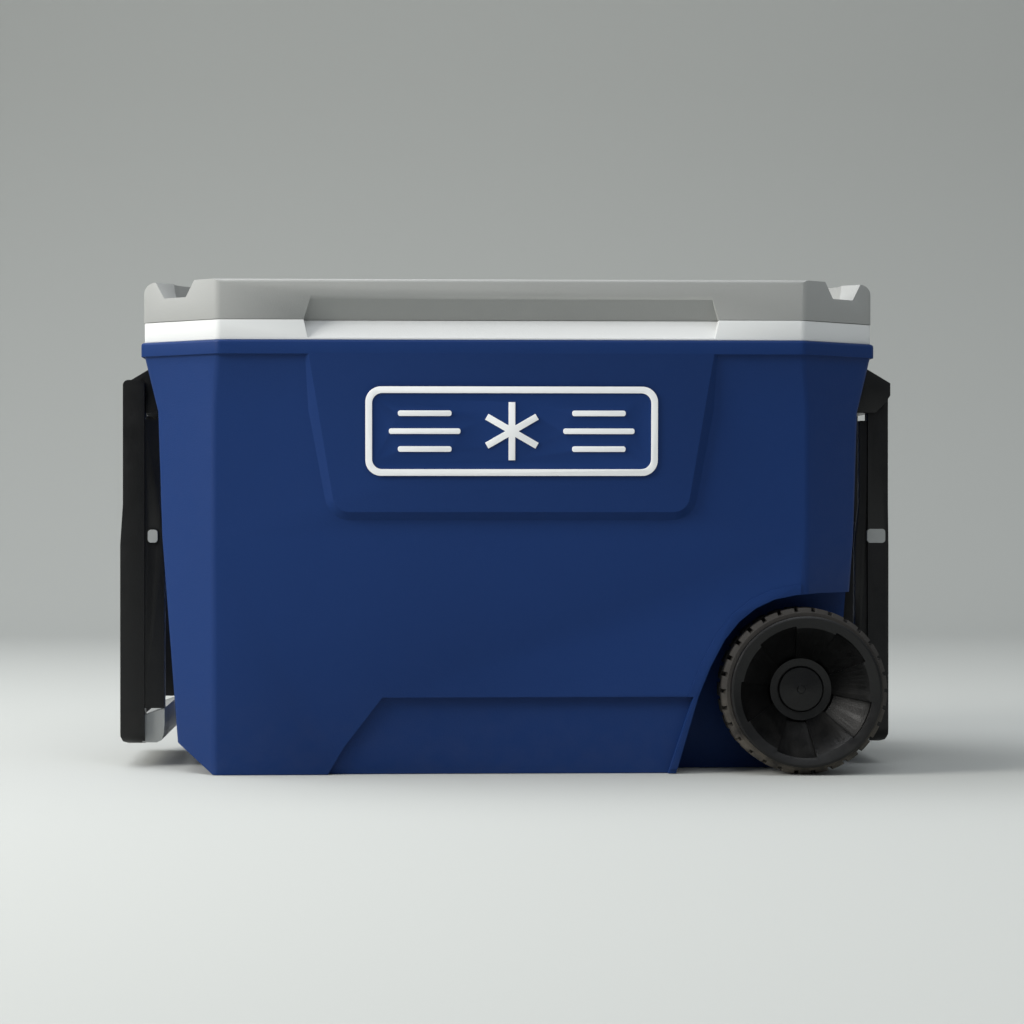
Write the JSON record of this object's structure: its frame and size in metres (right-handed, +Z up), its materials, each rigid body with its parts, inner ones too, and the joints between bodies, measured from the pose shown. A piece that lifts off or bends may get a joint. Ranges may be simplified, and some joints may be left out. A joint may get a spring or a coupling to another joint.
{
  "type": "wheeled cooler",
  "caption": "Insulated hard cooler with a hinged lid, swing handles at both ends, corner cup holders, a drain and wheels set into one end of the body.",
  "frame": {"origin": "centre of the flat bottom of the body, on the ground", "axes": "+X along the length towards the wheels, +Z up through the lid, -Y out of the front"},
  "size_m": [0.718, 0.4346, 0.445],
  "materials": {
    "blue_plastic": "moulded, fine texture",
    "grey_plastic": "moulded, fine texture",
    "white_plastic": "moulded, smooth",
    "foam": "cellular",
    "badge_plastic": "moulded",
    "steel": "zinc plated",
    "hinge_plastic": "moulded",
    "tyre": "dusty",
    "grip_rubber": "ribbed",
    "grip_grey": "moulded",
    "black_plastic": "moulded"
  },
  "bodies": {
    "tub": {"axle": "steel", "badge": "badge_plastic", "body_shell": "blue_plastic", "drain_nut": "white_plastic", "drain_spout": "white_plastic", "front_axle_nut": "steel", "hinge_body_leaf_left": "hinge_plastic", "hinge_body_leaf_right": "hinge_plastic", "hinge_body_screw_left_1": "steel", "hinge_body_screw_left_2": "steel", "hinge_body_screw_right_1": "steel", "hinge_body_screw_right_2": "steel", "hinge_pin_left": "steel", "hinge_pin_right": "steel", "insulation_foam": "foam", "lift_bracket": "black_plastic", "lift_bracket_screw_1": "steel", "lift_bracket_screw_2": "steel", "lift_pin": "steel", "rear_axle_nut": "steel", "tow_bracket": "black_plastic", "tow_bracket_screw_1": "steel", "tow_bracket_screw_2": "steel", "tow_pin": "steel", "tub_liner": "white_plastic"},
    "lid": {"hinge_lid_leaf_left": "hinge_plastic", "hinge_lid_leaf_right": "hinge_plastic", "hinge_lid_screw_left_1": "steel", "hinge_lid_screw_left_2": "steel", "hinge_lid_screw_right_1": "steel", "hinge_lid_screw_right_2": "steel", "lid_foam": "foam", "lid_liner": "white_plastic", "lid_shell": "grey_plastic"},
    "tow_handle": {"tow_handle_end_grip": "grip_grey", "tow_handle_frame": "black_plastic", "tow_handle_mid_bar": "grip_grey", "tow_handle_sleeve": "grip_rubber"},
    "lift_handle": {"lift_handle_end_grip": "grip_grey", "lift_handle_frame": "black_plastic", "lift_handle_mid_bar": "grip_grey", "lift_handle_sleeve": "grip_rubber"},
    "front_wheel_body": {"front_hub_cap": "black_plastic", "front_tyre": "tyre", "front_wheel": "black_plastic"},
    "rear_wheel_body": {"rear_hub_cap": "black_plastic", "rear_tyre": "tyre", "rear_wheel": "black_plastic"},
    "drain_plug": {"drain_cap": "black_plastic", "drain_seal": "grip_rubber"}
  },
  "joints": [
    {"name": "lid_hinge", "type": "hinge", "parent": "tub", "child": "lid", "pos_m": [0, 0.217, 0.4088], "axis": [-1, 0, 0], "range_deg": [0, 105]},
    {"name": "tow_handle_pivot", "type": "hinge", "parent": "tub", "child": "tow_handle", "pos_m": [-0.347, 0, 0.349], "axis": [0, 1, 0], "range_deg": [0, 165]},
    {"name": "lift_handle_pivot", "type": "hinge", "parent": "tub", "child": "lift_handle", "pos_m": [0.3475, 0, 0.345], "axis": [0, -1, 0], "range_deg": [0, 85]},
    {"name": "front_wheel_spin", "type": "hinge", "parent": "tub", "child": "front_wheel_body", "pos_m": [0.265, -0.18, 0.075], "axis": [0, 1, 0], "continuous": true},
    {"name": "rear_wheel_spin", "type": "hinge", "parent": "tub", "child": "rear_wheel_body", "pos_m": [0.265, 0.18, 0.075], "axis": [0, 1, 0], "continuous": true},
    {"name": "drain_cap_turn", "type": "hinge", "parent": "tub", "child": "drain_plug", "pos_m": [0.313, 0, 0.0545], "axis": [1, 0, 0], "range_deg": [0, 360]}
  ]
}
